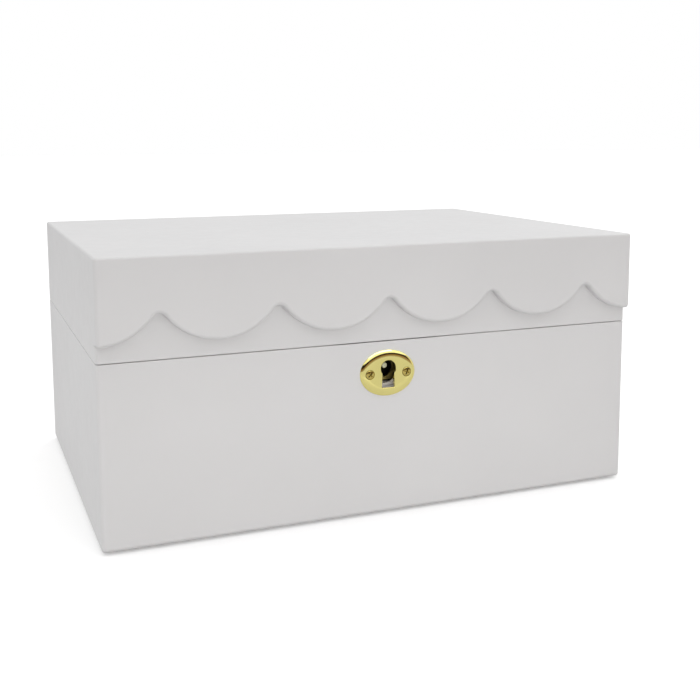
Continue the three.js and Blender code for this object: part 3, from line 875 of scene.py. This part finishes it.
def drawer_tray(name):
    """One drawer: its lacquered tray, the velvet on the tray's floor and its divider."""
    node = f"{name}_tray"
    box = node_box(node)
    tray = open_tray(node, box, TRAY_WALL, TRAY_BASE, TRAY_CORNER, TRAY_EDGE)
    add_piece(f"{name}_box", tray, LACQUER, name, [node])
    lining = rounded_box(f"{name}_floor", node_box(f"{name}_lining"), 0.3)
    add_piece(f"{name}_floor_card", lining, VELVET, name, [f"{name}_lining"])
    finished_node(f"{name}_divider", LACQUER, name, 0.7, 3)


def ring_pad_mesh():
    """The ring pad's six rolls before they are stuffed."""
    room = 0.5  # left round the rolls for the stuffing; they stand on the tray's lining
    x0, x1, y0, y1, z0, z1 = grown(node_box("ring_pad"), -room)
    z0 -= room
    pitch = (y1 - y0) / ROLLS
    radius = pitch / 2 - SLIT_GAP / 2
    section = [(y1, z0), (y0, z0)]
    for i in range(ROLLS):
        middle = y0 + (i + 0.5) * pitch
        crown = z1 - radius
        if i:
            section.append((middle - radius, z1 - SLIT))
        for k in range(ROLL_STEPS + 1):
            turn = math.pi * (1 - k / ROLL_STEPS)
            section.append((middle + radius * math.cos(turn), crown + radius * math.sin(turn)))
        if i < ROLLS - 1:
            section.append((middle + radius, z1 - SLIT))
    end, narrowing = PAD_EASE
    centre = (y0 + y1) / 2
    loops = []
    for k in range(PAD_STEPS + 1):
        x = x0 + (x1 - x0) * k / PAD_STEPS
        near = min(x - x0, x1 - x)
        squeeze = 1 - narrowing * max(0.0, 1 - near / end) ** 2
        loops.append([(x, centre + (y - centre) * squeeze, z0 + (z - z0) * squeeze) for y, z in section])
    return mesh_of("ring_pad_rolls", *loft(loops))


def stuffed(mesh, pinned, cap):
    """The mesh swollen by cloth simulation, each point moving at most cap millimetres."""
    piece = new_object("stuffing", mesh)
    before = [v.co.copy() for v in mesh.vertices]
    group = piece.vertex_groups.new(name="pinned")
    group.add([v.index for v in mesh.vertices if pinned(v.co / MM)], 1.0, "REPLACE")
    cloth = piece.modifiers.new("stuffing", "CLOTH")
    settings = cloth.settings
    settings.quality = 6
    settings.mass = 0.2
    settings.tension_stiffness = settings.compression_stiffness = 12
    settings.bending_stiffness = 0.4
    settings.use_pressure = True
    settings.uniform_pressure_force = 4
    settings.effector_weights.gravity = 0
    settings.vertex_group_mass = "pinned"
    cloth.collision_settings.use_collision = False
    cloth.point_cache.frame_start, cloth.point_cache.frame_end = 1, STUFFING_FRAMES
    for number in range(1, STUFFING_FRAMES + 1):
        bpy.context.scene.frame_set(number)
    graph = bpy.context.evaluated_depsgraph_get()
    swollen = bpy.data.meshes.new_from_object(piece.evaluated_get(graph))
    bpy.data.objects.remove(piece)
    bpy.context.scene.frame_set(1)
    for vertex, start in zip(swollen.vertices, before):
        move = vertex.co - start
        if move.length > cap * MM:
            vertex.co = start + move.normalized() * cap * MM
    return swollen


def ring_pad():
    """Six velvet rolls that hold rings in the slits between them; below the slits nothing swells."""
    top = node_box("ring_pad")[5]
    mesh = ring_pad_mesh()
    edit = bmesh.new()
    edit.from_mesh(mesh)
    bmesh.ops.triangulate(edit, faces=[f for f in edit.faces if len(f.verts) > 4])
    edit.to_mesh(mesh)
    edit.free()
    mesh = stuffed(mesh, lambda p: p.z < top - SLIT + 0.3, PAD_SWELL)
    piece = add_piece("ring_pad_rolls", mesh, VELVET, "upper_drawer", ["ring_pad"], angle=75)
    fine = piece.modifiers.new("fine surface", "SUBSURF")
    fine.levels = fine.render_levels = 1


RIBBON_THICK = 0.35
RIBBON_LOOP = 5.0  # height of the loop at the ribbon's top
RIBBON_BULGE = 1.8  # sets how far the loop leans over the drawer
RIBBON_LEGS = (0.25, 0.85)  # distance of the two legs' middles from the drawer's wall
RIBBON_SHORT = 1.5  # how much sooner the inner leg ends
LEG_STEPS = 8
LOOP_STEPS = 16
ACROSS = 7  # points across the ribbon


def ribbon_path(wall, inward, bottom, top):
    """The ribbon's side view in X and Z: up along the wall, over a soft loop and down again."""
    near, far = (wall + inward * leg for leg in RIBBON_LEGS)
    bend = top - RIBBON_LOOP
    path = [(near, bottom + (bend - bottom) * k / LEG_STEPS) for k in range(LEG_STEPS)]
    for k in range(LOOP_STEPS + 1):
        turn = math.pi * k / LOOP_STEPS
        lean = inward * RIBBON_BULGE * math.sin(turn / 2) * math.sin(turn)
        path.append((near + (far - near) * k / LOOP_STEPS + lean, bend + RIBBON_LOOP * math.sin(turn)))
    steps = LEG_STEPS - 1
    path += [(far, bend - (bend - bottom - RIBBON_SHORT) * k / steps) for k in range(1, LEG_STEPS)]
    return path


def ribbon_pull(name, body, inward):
    """A ribbon folded over the inner wall of a drawer, as its pull. inward is the side that it leans to."""
    x0, x1, y0, y1, z0, z1 = node_box(f"{body}_pull")
    path = ribbon_path(x1 if inward < 0 else x0, inward, z0, z1 - RIBBON_THICK)
    points, faces = [], []
    for i, (x, z) in enumerate(path):
        for j in range(ACROSS):
            y = y0 + (y1 - y0) * j / (ACROSS - 1)
            ripple = 0.06 * math.sin(3.1 * j + 0.4 * i)
            points.append((x + inward * ripple * min(1, i / LEG_STEPS), y, z))
    for i in range(len(path) - 1):
        for j in range(ACROSS - 1):
            a = i * ACROSS + j
            faces.append((a, a + 1, a + ACROSS + 1, a + ACROSS))
    mesh = mesh_of(name, points, faces)
    piece = add_piece(name, mesh, RIBBON, body, [f"{body}_pull"], angle=80)
    thick = piece.modifiers.new("ribbon thickness", "SOLIDIFY")
    thick.thickness = RIBBON_THICK * MM
    thick.offset = 0


# ---------------------------------------------------------------- studio
CAMERA_PLACE = (-0.19874, -0.55116, 0.18853)
CAMERA_AIM = (0.37619, 0.91781, -0.12693)
CAMERA_ROLL = -0.128  # degrees
FOCAL_LENGTH = 52.634
CAMERA_SHIFT = (-0.01589, -0.12084)
FLOOR_REACH, FLOOR_THICK = 9000, 20
# The sky's brightness or colour over the sine of its elevation.
SKY_SIDE = [(0.0, 0.9), (0.25, 1.1), (0.55, 1.24), (1.0, 1.13)]
SKY_BACK = [(0.0, 0.66), (0.25, 0.7), (0.55, 0.9), (1.0, 1.1)]
SKY_FRONT = [
    (0.0, (0.4, 0.36, 0.33)),
    (0.1, (0.32, 0.21, 0.14)),
    (0.2, (0.1, 0.05, 0.03)),
    (0.26, 0.01),
    (0.42, 0.02),
    (0.47, 1.2),
    (1.0, 1.1),
]
# Each light: its place, the way it faces, its size and its power in watts.
GLOSS_LIGHTS = {"softbox": ((0.1, -0.75, 1.2), (-0.08, 0.66, -1.1), (1.3, 0.3), 3.5)}
MATT_LIGHTS = {
    "front_fill": ((0.3, -1.3, 0.3), (-0.2, 1, -0.15), (1.2, 0.6), 2.12),
    "front_reflector": ((-0.02, -0.33, 0.02), (0, 1, 0.08), (0.5, 0.05), 0.25),
    "side_reflector": ((-0.37, -0.02, 0.02), (1, 0, 0.08), (0.4, 0.05), 0.165),
}


def camera():
    """The photograph's camera."""
    data = bpy.data.cameras.new("camera")
    data.lens, data.sensor_width = FOCAL_LENGTH, 36
    data.shift_x, data.shift_y = CAMERA_SHIFT
    data.clip_start, data.clip_end = 0.01, 50
    eye = bpy.data.objects.new("camera", data)
    eye.location = CAMERA_PLACE
    aim = Vector(CAMERA_AIM).to_track_quat("-Z", "Y").to_matrix()
    eye.rotation_euler = (aim @ Matrix.Rotation(math.radians(CAMERA_ROLL), 3, "Z")).to_euler()
    bpy.context.scene.collection.objects.link(eye)
    bpy.context.scene.camera = eye


def span(nodes, links, value, low, high, out_low, out_high):
    """A value taken smoothly from one range to another."""
    node = nodes.new("ShaderNodeMapRange")
    node.interpolation_type = "SMOOTHSTEP"
    for socket, number in zip(("From Min", "From Max", "To Min", "To Max"), (low, high, out_low, out_high)):
        node.inputs[socket].default_value = number
    links.new(value, node.inputs["Value"])
    return node.outputs["Result"]


def mixed(nodes, links, factor, first, second):
    """One colour giving way to another."""
    node = nodes.new("ShaderNodeMix")
    node.data_type = "RGBA"
    links.new(factor, node.inputs["Factor"])
    links.new(first, node.inputs["A"])
    links.new(second, node.inputs["B"])
    return node.outputs["Result"]


def area_light(name, place, aim, size, power, for_gloss):
    """A soft rectangular light that the camera doesn't see, either for gloss or for matt surfaces."""
    data = bpy.data.lights.new(name, "AREA")
    data.shape, data.size, data.size_y, data.energy = "RECTANGLE", *size, power
    lamp = bpy.data.objects.new(name, data)
    lamp.location = place
    lamp.rotation_euler = Vector(aim).to_track_quat("-Z", "Y").to_euler()
    lamp.visible_camera, lamp.visible_glossy, lamp.visible_diffuse = False, for_gloss, not for_gloss
    bpy.context.scene.collection.objects.link(lamp)


def world():
    """A white studio, bright overhead and warm and dark low in front; the camera sees plain white."""
    setting = bpy.data.worlds.new("studio")
    setting.use_nodes = True
    bpy.context.scene.world = setting
    nodes, links = setting.node_tree.nodes, setting.node_tree.links
    nodes.clear()
    split = nodes.new("ShaderNodeSeparateXYZ")
    links.new(nodes.new("ShaderNodeTexCoord").outputs["Generated"], split.inputs["Vector"])
    z = split.outputs["Z"]
    side, back, front = (ramp_output(nodes, links, z, sky) for sky in (SKY_SIDE, SKY_BACK, SKY_FRONT))
    # The side's sky gives way to the back's and the front's over Y, and the right is a little brighter.
    behind = mixed(nodes, links, span(nodes, links, split.outputs["Y"], 0.55, 0.85, 0, 1), side, back)
    sky = mixed(nodes, links, span(nodes, links, split.outputs["Y"], -0.45, 0, 1, 0), behind, front)
    surroundings = nodes.new("ShaderNodeBackground")
    links.new(sky, surroundings.inputs["Color"])
    links.new(span(nodes, links, split.outputs["X"], -1, 1, 0.88, 1.12), surroundings.inputs["Strength"])
    backdrop = nodes.new("ShaderNodeBackground")
    backdrop.inputs["Color"].default_value = (1, 1, 1, 1)
    mix = nodes.new("ShaderNodeMixShader")
    links.new(nodes.new("ShaderNodeLightPath").outputs["Is Camera Ray"], mix.inputs["Fac"])
    links.new(surroundings.outputs["Background"], mix.inputs[1])
    links.new(backdrop.outputs["Background"], mix.inputs[2])
    links.new(mix.outputs["Shader"], nodes.new("ShaderNodeOutputWorld").inputs["Surface"])


def studio():
    """A plain white floor, a white studio and soft lights.

    The camera sees the floor lit and glowing a little; gloss and matt surfaces get less light from it.
    """
    reach = FLOOR_REACH
    slab = block("studio_floor", (-reach, reach, -reach, reach, -FLOOR_THICK, 0))
    floor = new_object("studio_floor", slab)
    shader = Shader("floor_white", Roughness=0.9, Emission_Color=(1, 1, 1, 1), Emission_Strength=0.28)
    shader.base.inputs["Specular IOR Level"].default_value = 0.1
    shader.ramp(shader.noise(3, 2), [(0.3, 0.84), (0.7, 0.86)], "Base Color")
    nodes, links = shader.nodes, shader.links
    matt = nodes.new("ShaderNodeBsdfDiffuse")
    matt.inputs["Color"].default_value = (0.25, 0.25, 0.25, 1)
    glow = nodes.new("ShaderNodeEmission")
    path = nodes.new("ShaderNodeLightPath")
    links.new(span(nodes, links, path.outputs["Is Glossy Ray"], 0, 1, 0.2, 0.42), glow.inputs["Strength"])
    bounce = nodes.new("ShaderNodeAddShader")
    links.new(matt.outputs["BSDF"], bounce.inputs[0])
    links.new(glow.outputs["Emission"], bounce.inputs[1])
    mix = nodes.new("ShaderNodeMixShader")
    links.new(path.outputs["Is Camera Ray"], mix.inputs["Fac"])
    links.new(bounce.outputs["Shader"], mix.inputs[1])
    links.new(shader.base.outputs["BSDF"], mix.inputs[2])
    links.new(mix.outputs["Shader"], nodes["Material Output"].inputs["Surface"])
    floor.data.materials.append(shader.material)
    for name, light in GLOSS_LIGHTS.items():
        area_light(name, *light, for_gloss=True)
    for name, light in MATT_LIGHTS.items():
        area_light(name, *light, for_gloss=False)
    world()
    bpy.context.scene.view_settings.view_transform = "Standard"


# ---------------------------------------------------------------- the whole chest
camera()
studio()
chest_walls()
chest_base()
lid_skin()
lock_plate()
screws()
lock_parts()
velvet_linings()
mirror_and_surround()
runners()
drawer_tray("upper_drawer")
drawer_tray("lower_drawer")
ring_pad()
ribbon_pull("upper_drawer_ribbon", "upper_drawer", -1)
ribbon_pull("lower_drawer_ribbon", "lower_drawer", 1)
